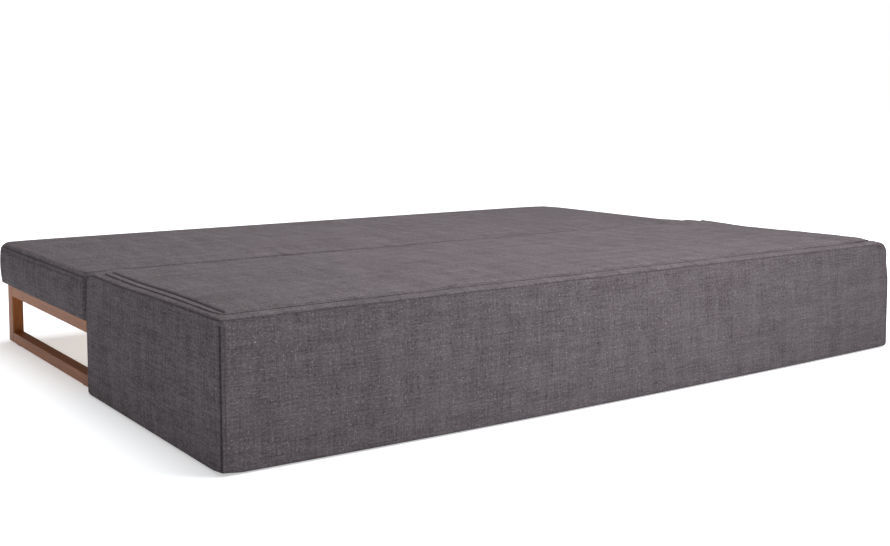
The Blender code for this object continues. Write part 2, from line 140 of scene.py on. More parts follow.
# small tools for node trees
def newGroup(name, inputs, outputs):
    tree = bpy.data.node_groups.new(name, "ShaderNodeTree")
    for label, kind, value in inputs:
        socket = tree.interface.new_socket(label, in_out="INPUT", socket_type=kind)
        if value is not None:
            socket.default_value = value
    for label, kind in outputs:
        tree.interface.new_socket(label, in_out="OUTPUT", socket_type=kind)
    return tree, tree.nodes.new("NodeGroupInput"), tree.nodes.new("NodeGroupOutput")


def feed(tree, socket, value):
    if isinstance(value, bpy.types.NodeSocket):
        tree.links.new(value, socket)
    else:
        socket.default_value = value


def calc(tree, operation, first, second=0.0, third=0.0):
    made = tree.nodes.new("ShaderNodeMath")
    made.operation = operation
    for socket, value in zip(made.inputs, (first, second, third)):
        feed(tree, socket, value)
    return made.outputs[0]


def scaled(tree, vector, scale):
    made = tree.nodes.new("ShaderNodeVectorMath")
    made.operation = "MULTIPLY"
    tree.links.new(vector, made.inputs[0])
    made.inputs[1].default_value = scale
    return made.outputs[0]


def noise(tree, vector, scale, detail=2.0, roughness=0.5):
    made = tree.nodes.new("ShaderNodeTexNoise")
    tree.links.new(vector, made.inputs["Vector"])
    made.inputs["Scale"].default_value = scale
    made.inputs["Detail"].default_value = detail
    made.inputs["Roughness"].default_value = roughness
    return made.outputs["Fac"]


def blendColor(tree, amount, first, second):
    made = tree.nodes.new("ShaderNodeMix")
    made.data_type = "RGBA"
    feed(tree, made.inputs["Factor"], amount)
    feed(tree, made.inputs["A"], first)
    feed(tree, made.inputs["B"], second)
    return made.outputs["Result"]


def useGroup(tree, group, **values):
    made = tree.nodes.new("ShaderNodeGroup")
    made.node_tree = group
    for label, value in values.items():
        feed(tree, made.inputs[label], value)
    return made


def newMaterial(name, roughness, metallic=0.0):
    made = bpy.data.materials.new(name)
    made.use_nodes = True
    shader = made.node_tree.nodes["Principled BSDF"]
    shader.inputs["Roughness"].default_value = roughness
    shader.inputs["Metallic"].default_value = metallic
    return made, made.node_tree, shader


def addBump(tree, shader, height, strength, distance):
    bump = tree.nodes.new("ShaderNodeBump")
    bump.inputs["Strength"].default_value = strength
    bump.inputs["Distance"].default_value = distance
    tree.links.new(height, bump.inputs["Height"])
    tree.links.new(bump.outputs["Normal"], shader.inputs["Normal"])


def ramp(tree, factor, stops):
    made = tree.nodes.new("ShaderNodeValToRGB")
    tree.links.new(factor, made.inputs["Fac"])
    elements = made.color_ramp.elements
    while len(elements) < len(stops):
        elements.new(0.5)
    for element, (position, color) in zip(elements, stops):
        element.position = position
        element.color = (*color, 1.0)
    return made.outputs["Color"]


# how upright a face counts as a top, and how far tops and ends shift the pattern
panelLook = dict(level=0.7, shiftTop=3.1, shiftEnd=1.7)


def makePanelCoords():
    # lays the cloth flat on each panel: across and up, in metres
    tree, _, end = newGroup("panelCoords", [], [("Vector", "NodeSocketVector")])
    coords = tree.nodes.new("ShaderNodeTexCoord")
    spot = tree.nodes.new("ShaderNodeSeparateXYZ")
    facing = tree.nodes.new("ShaderNodeSeparateXYZ")
    tree.links.new(coords.outputs["Object"], spot.inputs[0])
    tree.links.new(coords.outputs["Normal"], facing.inputs[0])
    sizes = [calc(tree, "ABSOLUTE", facing.outputs[axis]) for axis in range(3)]
    isTop = calc(tree, "GREATER_THAN", sizes[2], panelLook["level"])
    isEnd = calc(tree, "GREATER_THAN", sizes[0], sizes[1])
    notTop = calc(tree, "SUBTRACT", 1.0, isTop)
    endPart = calc(tree, "MULTIPLY", notTop, isEnd)
    across = calc(tree, "MULTIPLY_ADD", calc(tree, "SUBTRACT", spot.outputs["Y"], spot.outputs["X"]),
                  endPart, spot.outputs["X"])
    up = calc(tree, "MULTIPLY_ADD", calc(tree, "SUBTRACT", spot.outputs["Y"], spot.outputs["Z"]),
              isTop, spot.outputs["Z"])
    joined = tree.nodes.new("ShaderNodeCombineXYZ")
    tree.links.new(across, joined.inputs["X"])
    tree.links.new(up, joined.inputs["Y"])
    shiftEnd = calc(tree, "MULTIPLY", endPart, panelLook["shiftEnd"])
    tree.links.new(calc(tree, "MULTIPLY_ADD", isTop, panelLook["shiftTop"], shiftEnd), joined.inputs["Z"])
    tree.links.new(joined.outputs[0], end.inputs["Vector"])
    return tree


# the tweed's layers of yarn: threads to a metre, fineness and share of the tone
yarns = ({"spread": (250.0, 13.0, 1.0), "detail": 3.0, "roughness": 0.62, "share": 0.19},  # warp
         {"spread": (16.0, 240.0, 1.0), "detail": 3.0, "roughness": 0.62, "share": 0.22},  # weft
         {"spread": (5.0, 32.0, 1.0), "detail": 2.0, "roughness": 0.5, "share": 0.09},  # bands along
         {"spread": (28.0, 4.0, 1.0), "detail": 2.0, "roughness": 0.5, "share": 0.10},  # bands up
         {"spread": (170.0, 230.0, 1.0), "detail": 3.0, "roughness": 0.7, "share": 0.40})  # grain
fleckLook = dict(fineSpread=(230.0, 340.0, 1.0), fineSize=0.16, fineShare=0.38,
                 bigSpread=(90.0, 150.0, 1.0), bigSize=0.06, bigShare=0.05, sizeVaries=0.16, dimmest=0.3)
weaveHeight = dict(yarn=0.0016, yarns=0.25, tone=0.5, fleck=0.25)


def makeTweed():
    # heathered plain weave with slubs and pale flecks
    tree, start, end = newGroup(
        "tweedWeave",
        [("Vector", "NodeSocketVector", None), ("Yarn", "NodeSocketFloat", weaveHeight["yarn"]),
         ("Fleck Share", "NodeSocketFloat", fleckLook["fineShare"])],
        [("Tone", "NodeSocketFloat"), ("Fleck", "NodeSocketFloat"), ("Height", "NodeSocketFloat")])
    vector = start.outputs["Vector"]
    tone = 0.0
    for yarn in yarns:
        layer = noise(tree, scaled(tree, vector, yarn["spread"]), 1.0, yarn["detail"], yarn["roughness"])
        tone = calc(tree, "MULTIPLY_ADD", layer, yarn["share"], tone)
    flecks = []
    for spread, share, smallest in (
            (fleckLook["fineSpread"], start.outputs["Fleck Share"], fleckLook["fineSize"]),
            (fleckLook["bigSpread"], fleckLook["bigShare"], fleckLook["bigSize"])):
        cells = tree.nodes.new("ShaderNodeTexVoronoi")
        cells.inputs["Scale"].default_value = 1.0
        tree.links.new(scaled(tree, vector, spread), cells.inputs["Vector"])
        pick = tree.nodes.new("ShaderNodeSeparateColor")
        tree.links.new(cells.outputs["Color"], pick.inputs["Color"])
        chosen = calc(tree, "LESS_THAN", pick.outputs["Red"], share)
        reach = calc(tree, "MULTIPLY_ADD", pick.outputs["Green"], fleckLook["sizeVaries"], smallest)
        spot = calc(tree, "LESS_THAN", cells.outputs["Distance"], reach)
        dimmest = fleckLook["dimmest"]
        bright = calc(tree, "MULTIPLY_ADD", pick.outputs["Blue"], 1 - dimmest, dimmest)
        flecks.append(calc(tree, "MULTIPLY", calc(tree, "MULTIPLY", chosen, spot), bright))
    fleck = calc(tree, "MAXIMUM", flecks[0], flecks[1])
    parts = tree.nodes.new("ShaderNodeSeparateXYZ")
    tree.links.new(vector, parts.inputs[0])
    turns = calc(tree, "DIVIDE", math.pi, start.outputs["Yarn"])
    over = [calc(tree, "ABSOLUTE", calc(tree, "SINE", calc(tree, "MULTIPLY", parts.outputs[axis], turns)))
            for axis in ("X", "Y")]
    height = calc(tree, "MULTIPLY", calc(tree, "ADD", over[0], over[1]), weaveHeight["yarns"])
    height = calc(tree, "MULTIPLY_ADD", tone, weaveHeight["tone"], height)
    height = calc(tree, "MULTIPLY_ADD", fleck, weaveHeight["fleck"], height)
    tree.links.new(tone, end.inputs["Tone"])
    tree.links.new(fleck, end.inputs["Fleck"])
    tree.links.new(height, end.inputs["Height"])
    return tree


# the wood's figure: waves to a metre along and across the board
grainLook = dict(band=(1.6, 58.0, 58.0), fibre=(9.0, 420.0, 420.0), pore=(34.0, 900.0, 900.0),
                 poreShare=0.36, poreDepth=0.5)


def makeWoodGrain():
    # long fibres and slow bands along X of the vector
    tree, start, end = newGroup(
        "woodGrain", [("Vector", "NodeSocketVector", None)],
        [("Band", "NodeSocketFloat"), ("Pore", "NodeSocketFloat"), ("Height", "NodeSocketFloat")])
    vector = start.outputs["Vector"]
    band = noise(tree, scaled(tree, vector, grainLook["band"]), 1.0, 3.0, 0.6)
    fibre = noise(tree, scaled(tree, vector, grainLook["fibre"]), 1.0, 3.0, 0.65)
    pore = noise(tree, scaled(tree, vector, grainLook["pore"]), 1.0, 1.0, 0.5)
    deep = calc(tree, "LESS_THAN", pore, grainLook["poreShare"])
    mixed = calc(tree, "MULTIPLY", calc(tree, "ADD", fibre, band), 0.5)
    tree.links.new(mixed, end.inputs["Band"])
    tree.links.new(deep, end.inputs["Pore"])
    tree.links.new(calc(tree, "MULTIPLY_ADD", deep, -grainLook["poreDepth"], fibre), end.inputs["Height"])
    return tree


def makeMottle():
    # slow patches and fine speckle, for foam, felt, steel and plastic
    tree, start, end = newGroup(
        "mottle", [("Patch Scale", "NodeSocketFloat", 8.0), ("Speckle Scale", "NodeSocketFloat", 300.0)],
        [("Patch", "NodeSocketFloat"), ("Speckle", "NodeSocketFloat")])
    coords = tree.nodes.new("ShaderNodeTexCoord")
    for label in ("Patch", "Speckle"):
        made = tree.nodes.new("ShaderNodeTexNoise")
        tree.links.new(coords.outputs["Object"], made.inputs["Vector"])
        tree.links.new(start.outputs[f"{label} Scale"], made.inputs["Scale"])
        made.inputs["Detail"].default_value = 3.0
        tree.links.new(made.outputs["Fac"], end.inputs[label])
    return tree


# cloth and woods
# the tweed's darkest colour below is painted shade: it is blended in where the covers' seam attribute marks
# shadow in seam grooves, under the lip and in the gap between back and seat
tweed = dict(dark=(0.031, 0.0235, 0.0258), light=(0.171, 0.151, 0.164), fleck=(0.26, 0.235, 0.245),
             seamShadow=(0.020, 0.017, 0.019), roughness=0.92, shine=0.1, toneLow=0.36, toneHigh=0.66, bump=0.7,
             bumpSize=0.0006)
walnut = dict(stops=((0.32, (0.142, 0.040, 0.0105)), (0.52, (0.284, 0.093, 0.026)),
                     (0.70, (0.405, 0.150, 0.046))),
              pore=(0.040, 0.014, 0.006), roughness=0.5, shine=0.25)
pine = dict(stops=((0.30, (0.42, 0.27, 0.13)), (0.52, (0.60, 0.43, 0.25)), (0.74, (0.70, 0.55, 0.36))),
            pore=(0.36, 0.22, 0.10), roughness=0.62, shine=0.3)
birch = dict(stops=((0.30, (0.50, 0.42, 0.31)), (0.52, (0.63, 0.55, 0.43)), (0.74, (0.72, 0.64, 0.52))),
             pore=(0.40, 0.27, 0.15), roughness=0.6, shine=0.3)
woodFinish = dict(pores=0.55, roughVaries=0.1, bump=0.35, bumpSize=0.0004)


def makeTweedMaterial(name, coordsGroup, tweedGroup):
    made, tree, shader = newMaterial(name, tweed["roughness"])
    coords = useGroup(tree, coordsGroup)
    weave = useGroup(tree, tweedGroup, Vector=coords.outputs["Vector"])
    spread = tree.nodes.new("ShaderNodeMapRange")
    tree.links.new(weave.outputs["Tone"], spread.inputs["Value"])
    spread.inputs["From Min"].default_value = tweed["toneLow"]
    spread.inputs["From Max"].default_value = tweed["toneHigh"]
    color = blendColor(tree, spread.outputs["Result"], (*tweed["dark"], 1.0), (*tweed["light"], 1.0))
    color = blendColor(tree, weave.outputs["Fleck"], color, (*tweed["fleck"], 1.0))
    # painted shade: the covers' point attribute darkens the cloth towards the shadow colour along seams,
    # under the lip and at the junction
    seamShadow = tree.nodes.new("ShaderNodeAttribute")
    seamShadow.attribute_name = "paintedSeamShade"
    color = blendColor(tree, seamShadow.outputs["Fac"], color, (*tweed["seamShadow"], 1.0))
    tree.links.new(color, shader.inputs["Base Color"])
    addBump(tree, shader, weave.outputs["Height"], tweed["bump"], tweed["bumpSize"])
    shader.inputs["Specular IOR Level"].default_value = tweed["shine"]
    return made


def makeWoodMaterial(name, look, grainGroup, along):
    # along is the board's long axis: 0, 1 or 2
    made, tree, shader = newMaterial(name, look["roughness"])
    coords = tree.nodes.new("ShaderNodeTexCoord")
    parts = tree.nodes.new("ShaderNodeSeparateXYZ")
    tree.links.new(coords.outputs["Object"], parts.inputs[0])
    joined = tree.nodes.new("ShaderNodeCombineXYZ")
    for target in range(3):
        tree.links.new(parts.outputs[(along + target) % 3], joined.inputs[target])
    grain = useGroup(tree, grainGroup, Vector=joined.outputs[0])
    color = ramp(tree, grain.outputs["Band"], look["stops"])
    pores = calc(tree, "MULTIPLY", grain.outputs["Pore"], woodFinish["pores"])
    color = blendColor(tree, pores, color, (*look["pore"], 1.0))
    tree.links.new(color, shader.inputs["Base Color"])
    varies = woodFinish["roughVaries"]
    rough = calc(tree, "MULTIPLY_ADD", grain.outputs["Band"], 2 * varies, look["roughness"] - varies)
    tree.links.new(rough, shader.inputs["Roughness"])
    addBump(tree, shader, grain.outputs["Height"], woodFinish["bump"], woodFinish["bumpSize"])
    shader.inputs["Specular IOR Level"].default_value = look["shine"]
    return made


# foams, lining, felt, plastics, metals and thread, by the record's slots
mottleBase = dict(metallic=0.0, patch=8.0, speckle=300.0, bump=0.3, bumpSize=0.0004, speckleShare=0.6,
                  roughVaries=0.1)
mottledLooks = {
    "foam": {"name": "foamBlock", "first": (0.66, 0.62, 0.50), "second": (0.86, 0.83, 0.72),
             "roughness": 0.95, "speckle": 700.0},
    "soft_foam": {"name": "softFoam", "first": (0.74, 0.73, 0.68), "second": (0.90, 0.90, 0.86),
                  "roughness": 0.95, "speckle": 600.0},
    "black_lining": {"name": "blackLining", "first": (0.012, 0.012, 0.013), "second": (0.035, 0.035, 0.037),
                     "roughness": 0.9, "speckle": 900.0},
    "felt": {"name": "feltPad", "first": (0.06, 0.045, 0.035), "second": (0.15, 0.11, 0.085),
             "roughness": 0.95, "speckle": 900.0},
    "nylon": {"name": "nylonGlide", "first": (0.020, 0.020, 0.022), "second": (0.045, 0.045, 0.048),
              "roughness": 0.5},
    "black_steel": {"name": "powderedSteel", "first": (0.028, 0.028, 0.031), "second": (0.065, 0.065, 0.070),
                    "roughness": 0.45, "metallic": 0.4, "speckle": 1200.0},
    "thread": {"name": "sewingThread", "first": (0.020, 0.017, 0.019), "second": (0.055, 0.048, 0.052),
               "roughness": 0.7, "speckle": 1500.0},
    "zinc": {"name": "zincPlate", "first": (0.48, 0.48, 0.46), "second": (0.72, 0.72, 0.70),
             "roughness": 0.34, "metallic": 1.0, "speckle": 500.0, "bump": 0.1},
}


def makeMottledMaterial(ownLook, mottleGroup):
    look = {**mottleBase, **ownLook}
    made, tree, shader = newMaterial(look["name"], look["roughness"], look["metallic"])
    spots = useGroup(tree, mottleGroup)
    spots.inputs["Patch Scale"].default_value = look["patch"]
    spots.inputs["Speckle Scale"].default_value = look["speckle"]
    patchPart = calc(tree, "MULTIPLY", spots.outputs["Patch"], 1 - look["speckleShare"])
    amount = calc(tree, "MULTIPLY_ADD", spots.outputs["Speckle"], look["speckleShare"], patchPart)
    color = blendColor(tree, amount, (*look["first"], 1.0), (*look["second"], 1.0))
    tree.links.new(color, shader.inputs["Base Color"])
    varies = look["roughVaries"]
    rough = calc(tree, "MULTIPLY_ADD", spots.outputs["Patch"], 2 * varies, look["roughness"] - varies)
    tree.links.new(rough, shader.inputs["Roughness"])
    addBump(tree, shader, spots.outputs["Speckle"], look["bump"], look["bumpSize"])
    return made


# sewn covers: each is a box of cloth panels
def axisCuts(low, high, step, lowCuts, highCuts):
    lowSide = [low + cut for cut in lowCuts]
    highSide = [high - cut for cut in highCuts]
    count = max(2, round((highSide[-1] - lowSide[-1]) / step))
    middle = np.linspace(lowSide[-1], highSide[-1], count + 1)
    return np.array(sorted(set(lowSide + list(middle) + highSide)))


def addCuts(cuts, more, apart=0.004):
    # new cuts, dropping old ones that would fall too close
    kept = [cut for cut in cuts[1:-1] if min(abs(cut - new) for new in more) > apart]
    return np.array(sorted([cuts[0], cuts[-1]] + kept + more))


def boxGrid(name, cuts, keepFace):
    # quads on the outside of a box; keepFace says which are wanted
    counts = [len(axis) for axis in cuts]
    index = {}
    places = []

    def vert(key):
        if key not in index:
            index[key] = len(places)
            places.append([cuts[axis][key[axis]] for axis in range(3)])
        return index[key]

    faces = []
    for axis in range(3):
        first, second = [(1, 2), (2, 0), (0, 1)][axis]
        for end in (0, counts[axis] - 1):
            for i in range(counts[first] - 1):
                for j in range(counts[second] - 1):
                    corners = []
                    for di, dj in ((0, 0), (1, 0), (1, 1), (0, 1)):
                        key = [0, 0, 0]
                        key[axis] = end
                        key[first] = i + di
                        key[second] = j + dj
                        corners.append(tuple(key))
                    middle = [sum(cuts[a][key[a]] for key in corners) / 4 for a in range(3)]
                    if not keepFace(axis, end > 0, middle):
                        continue
                    face = [vert(key) for key in corners]
                    faces.append(face if end > 0 else face[::-1])
    mesh = bpy.data.meshes.new(name)
    mesh.from_pydata(places, [], faces)
    mesh.update()
    return mesh


def boxOf(node):
    return [np.array(corner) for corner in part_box(node)]


def openFoot(axis, atHigh, middle, low, high, edge):
    # keeps every side, and of the underside only a turned-in edge
    if axis != 2 or atHigh:
        return True
    inside = min(middle[0] - low[0], high[0] - middle[0], middle[1] - low[1], high[1] - middle[1])
    return inside < edge


def readPoints(mesh):
    points = np.empty(len(mesh.vertices) * 3)
    mesh.vertices.foreach_get("co", points)
    return points.reshape(-1, 3)


def writePoints(mesh, points):
    mesh.vertices.foreach_set("co", points.ravel())
    mesh.update()


def roundBox(points, low, high, lowRoll, highRoll):
    # lowRoll and highRoll are the radii at the low and high ends of each axis, one row for each point
    innerLow = low + lowRoll
    innerHigh = high - highRoll
    inner = np.minimum(np.maximum(points, innerLow), innerHigh)
    offset = points - inner
    roll = np.where(offset < 0, lowRoll, highRoll)
    unit = offset / roll
    length = np.linalg.norm(unit, axis=1)
    length[length == 0] = 1.0
    return inner + unit / length[:, None] * roll


def smooth(value, low, high):
    t = np.clip((value - low) / (high - low), 0, 1)
    return t * t * (3 - 2 * t)


def within(distance, full, none):
    # 1 up to the first distance, 0 past the second
    return 1 - smooth(distance, full, none)


def bell(distance, width):
    return np.exp(-(distance / width) ** 2)


def dome(share, power):
    # 1 in the middle of a panel and 0 at both ends
    return 1 - np.abs(2 * share - 1) ** power


def blend(first, second, share):
    return first + (second - first) * share


def arch(share, power):
    return np.sin(math.pi * np.clip(share, 0, 1)) ** power


def measure(flat, low, high):
    # for each point: shares along its box, distances from the sides, and the sides that it lies on
    share = (flat - low) / (high - low)
    fromLow = flat - low
    fromHigh = high - flat
    touch = 1e-6
    return SimpleNamespace(
        u=share[:, 0], v=share[:, 1], h=share[:, 2],
        left=fromLow[:, 0], near=fromLow[:, 1], foot=fromLow[:, 2],
        right=fromHigh[:, 0], far=fromHigh[:, 1], drop=fromHigh[:, 2],
        onLeft=fromLow[:, 0] < touch, onNear=fromLow[:, 1] < touch,
        onRight=fromHigh[:, 0] < touch, onFar=fromHigh[:, 1] < touch, onTop=fromHigh[:, 2] < touch)


def ripple(points, seed, size, amount):
    # slow unevenness made of a few waves
    chance = np.random.RandomState(seed)
    total = np.zeros(len(points))
    for _ in range(7):
        direction = chance.normal(size=3)
        direction *= chance.uniform(0.6, 1.6) / size / np.linalg.norm(direction)
        total += np.sin(points @ direction * math.tau + chance.uniform(0, math.tau))
    return total * amount / 3


# the coarse cloth bag that swells each cover; lengths in metres
clothLook = dict(step=0.022, edgeCut=0.006, frames=14, pressure=1.2, slack=0.004, cap=0.005, quality=4,
                 mass=0.4, stretch=12, bending=0.6, neighbours=4, nearest=0.002, pinEdge=0.008,
                 pinLip=0.012)


def puffField(name, low, high, rolls, isPinned):
    # a bag blown up a little between its seams; gives how far each of its points moved
    look = SimpleNamespace(**clothLook)
    ends = [0.0, look.edgeCut]
    cuts = [axisCuts(low[axis], high[axis], look.step, ends, ends) for axis in range(3)]
    mesh = boxGrid(name, cuts, lambda axis, atHigh, middle: True)
    points = readPoints(mesh)
    pinned = isPinned(points)
    start = roundBox(points, low, high, *rolls(points))
    writePoints(mesh, start)
    bag = bpy.data.objects.new(name, mesh)
    bpy.context.scene.collection.objects.link(bag)
    pins = bag.vertex_groups.new(name="pins")
    pins.add([int(i) for i in np.nonzero(pinned)[0]], 1.0, "REPLACE")
    settings = bag.modifiers.new("cloth", "CLOTH").settings
    settings.quality = look.quality
    settings.mass = look.mass
    settings.vertex_group_mass = "pins"
    settings.tension_stiffness = look.stretch
    settings.compression_stiffness = look.stretch
    settings.bending_stiffness = look.bending
    settings.shrink_min = -look.slack
    settings.use_pressure = True
    settings.uniform_pressure_force = look.pressure
    settings.effector_weights.gravity = 0
    scene = bpy.context.scene
    for step in range(1, look.frames + 1):
        scene.frame_set(step)
    moved = readPoints(bag.evaluated_get(bpy.context.evaluated_depsgraph_get()).data)
    shift = moved - start
    farthest = np.linalg.norm(shift, axis=1).max()
    print(name, "cloth moved at most", round(float(farthest), 4))
    shift *= min(1.0, look.cap / max(farthest, 1e-6))
    bpy.data.objects.remove(bag, do_unlink=True)
    scene.frame_set(1)
    tree = kdtree.KDTree(len(start))
    for i, point in enumerate(start):
        tree.insert(point, i)
    tree.balance()
    return tree, shift


def addPuff(points, field):
    # each point moves as the bag's nearest points do
    tree, shift = field
    moved = points.copy()
    for i, point in enumerate(points):
        total = np.zeros(3)
        weight = 0.0
        for _, j, distance in tree.find_n(point, clothLook["neighbours"]):
            share = 1.0 / (distance + clothLook["nearest"])
            total += shift[j] * share
            weight += share
        moved[i] += total / weight
    return moved


def finishCover(name, mesh, material, paintedSeamShade, thickness):
    # the seam attribute carries painted shade into the cloth's colour
    shade = mesh.attributes.new("paintedSeamShade", "FLOAT", "POINT")
    shade.data.foreach_set("value", paintedSeamShade.astype(np.float32))
    mesh.materials.append(material)
    mesh.shade_smooth()
    cover = bpy.data.objects.new(name, mesh)
    bpy.context.scene.collection.objects.link(cover)
    cloth = cover.modifiers.new("clothThickness", "SOLIDIFY")
    cloth.thickness = thickness
    cloth.offset = -1.0
    return cover


def addPiece(name, verts, faces, material):
    mesh = bpy.data.meshes.new(name)
    mesh.from_pydata(verts, [], faces)
    mesh.update()
    mesh.materials.append(material)
    mesh.shade_smooth()
    made = bpy.data.objects.new(name, mesh)
    bpy.context.scene.collection.objects.link(made)
    return made


# the back's cover. Pairs are the distances between which an effect fades
lipLook = dict(wide=0.016, narrow=0.013, front=0.009, thick=0.0017, thinFront=0.0010, start=0.080,
               turn=0.004, step=0.012, rise=0.0002, wave=0.0004, cock=0.16, tip=0.40, tipLong=0.09,
               tipNarrow=0.005, tipShift=0.009, under=0.0006, root=0.0008, stitched=0.003, edge=0.002,
               edgeTurn=0.0004, lift=0.0003, lean=0.010, leanFade=(0.03, 0.70), leanEdge=0.022,
               leanPanel=(0.06, 0.25), frontFade=(0.045, 0.07), wideFade=(0.08, 0.60),
               thickFade=(0.045, 0.09))
backLook = dict(step=0.020, thickness=0.002, hem=0.001, returnWide=0.030,
                slot=dict(near=0.7922, far=0.8090, bottom=0.129, top=0.2595), roll=0.005, cornerRoll=0.009,
                footRoll=0.004, footSoft=0.008, junctionRoll=0.030, shoulder=0.032, footFade=(0.01, 0.04),
                junctionFade=(0.02, 0.06), shoulderFade=(0.035, 0.075), shoulderDrop=(0.03, 0.10),
                junctionDrop=(0.02, 0.09), lipInset=0.038, lipDrop=0.0007, lipDropWide=0.0018,
                border=0.0045, borderPower=0.8, topRise=0.0034, riseFrom=0.0005, riseTo=0.014,
                crown=0.0015, topFade=0.05, frontBow=0.020, bowHigh=0.85, bowTop=0.15, bowFade=0.05,
                frontPuff=0.004, sidePuff=0.004, puffPower=0.8, hemRise=0.0045, hemFade=0.022,
                hemHigh=0.12, cornerLift=0.004, cornerFade=0.05, cornerHigh=0.10, proud=0.0055,
                proudFade=(0.10, 0.60), proudDrop=0.12, flare=0.006, flareFrom=0.93, ear=0.007,
                earFrom=0.90, earLeftFrom=0.93, earLeft=0.5, earFade=(0.03, 0.30), earDrop=0.10,
                uneven=0.0011, unevenSize=0.32, unevenFront=1.3, calmInset=(0.01, 0.06),
                calmJunction=(0.02, 0.08), flatFrom=0.0150, flatten=0.5)
# the seams' pull on the cloth, and the painted shade along the seams, under the lip, at the hem and in the
# gap to the seat
backSeams = dict(drop=0.0018, wide=0.0016, shade=0.75, pull=0.0012, cornerWide=0.0022, cornerFrom=0.004,
                 cornerShade=0.8, below=0.010, stitchInset=0.0105, stitchWide=0.0016, stitchShade=0.3,
                 lipLeft=0.95, lipFront=0.22, lipRight=0.5, edgeGap=0.0015, edgeWide=0.0022, edgeLeft=0.5,
                 edgeElse=0.4, rootLeft=0.0034, rootElse=0.0016, rootWideLeft=0.0040, rootWideElse=0.0027,
                 hemHigh=0.006, hemSoft=0.005, hemShade=0.6, junctionShade=0.45,
                 junctionFade=(0.004, 0.030), junctionDrop=0.05, darkest=0.95)


def backRolls(points, high):
    # the radius at each point of the six sides' edges
    look = SimpleNamespace(**backLook)
    x, y, z = points.T
    lowRoll = np.empty((len(points), 3))
    highRoll = np.empty((len(points), 3))
    corner = look.cornerRoll
    lowRoll[:] = (corner, corner, look.footRoll)
    lowRoll[:, 2] += look.footSoft * within(high[0] - x, *look.footFade)
    junction = look.junctionRoll
    shoulder = look.shoulder
    topRoll = blend(look.roll, junction, within(high[1] - y, *look.junctionFade))
    topRoll = blend(topRoll, shoulder, within(high[0] - x, *look.shoulderFade))
    highRoll[:, 0] = blend(corner, shoulder, within(high[2] - z, *look.shoulderDrop))
    highRoll[:, 1] = blend(corner, junction, within(high[2] - z, *look.junctionDrop))
    highRoll[:, 2] = topRoll
    return lowRoll, highRoll


def lipWidth(near):
    # the lip narrows towards the front's left corner and is narrowest along the front
    look = SimpleNamespace(**lipLook)
    side = blend(look.narrow, look.wide, smooth(near, *look.wideFade))
    return blend(side, look.front, within(near, *look.frontFade))


def lipLean(left, near):
    # the left seam drifts outwards on its way to the front
    drift = lipLook["lean"] * within(near, *lipLook["leanFade"])
    return drift * smooth(left, 0.0, lipLook["leanEdge"]) * within(left, *lipLook["leanPanel"])


def backGrid(low, high):
    lip = backLook["lipInset"]
    fine = [0.0, 0.003, 0.006, 0.010, 0.014, 0.018, 0.0205, 0.0225, 0.025, 0.0275, 0.030]
    fine += [lip + cut for cut in (-0.004, -0.0015, 0.0, 0.0015, 0.004, 0.007, 0.012, 0.03)]
    rounded = [0.0, 0.006, 0.012, 0.018, 0.024, 0.030, 0.042]
    foot = [0.0, 0.003, 0.006, 0.014]
    top = [0.0, 0.0015, 0.003, 0.0045, 0.006, 0.009, 0.013, 0.018, 0.024, 0.034]
    slot = backLook["slot"]
    step = backLook["step"]
    across = axisCuts(low[0], high[0], step, fine, fine)
    up = axisCuts(low[2], high[2], step, foot, top)
    cuts = [addCuts(across, [-slot["far"], -slot["near"], slot["near"], slot["far"]]),
            axisCuts(low[1], high[1], step, fine, rounded),
            addCuts(up, [slot["bottom"], slot["top"]])]

    def keepFace(axis, atHigh, middle):
        if axis == 1 and atHigh:
            inSlot = slot["near"] < abs(middle[0]) < slot["far"] and slot["bottom"] < middle[2] < slot["top"]
            return not inSlot
        return openFoot(axis, atHigh, middle, low, high, backLook["returnWide"])

    return boxGrid("backCoverCloth", cuts, keepFace)


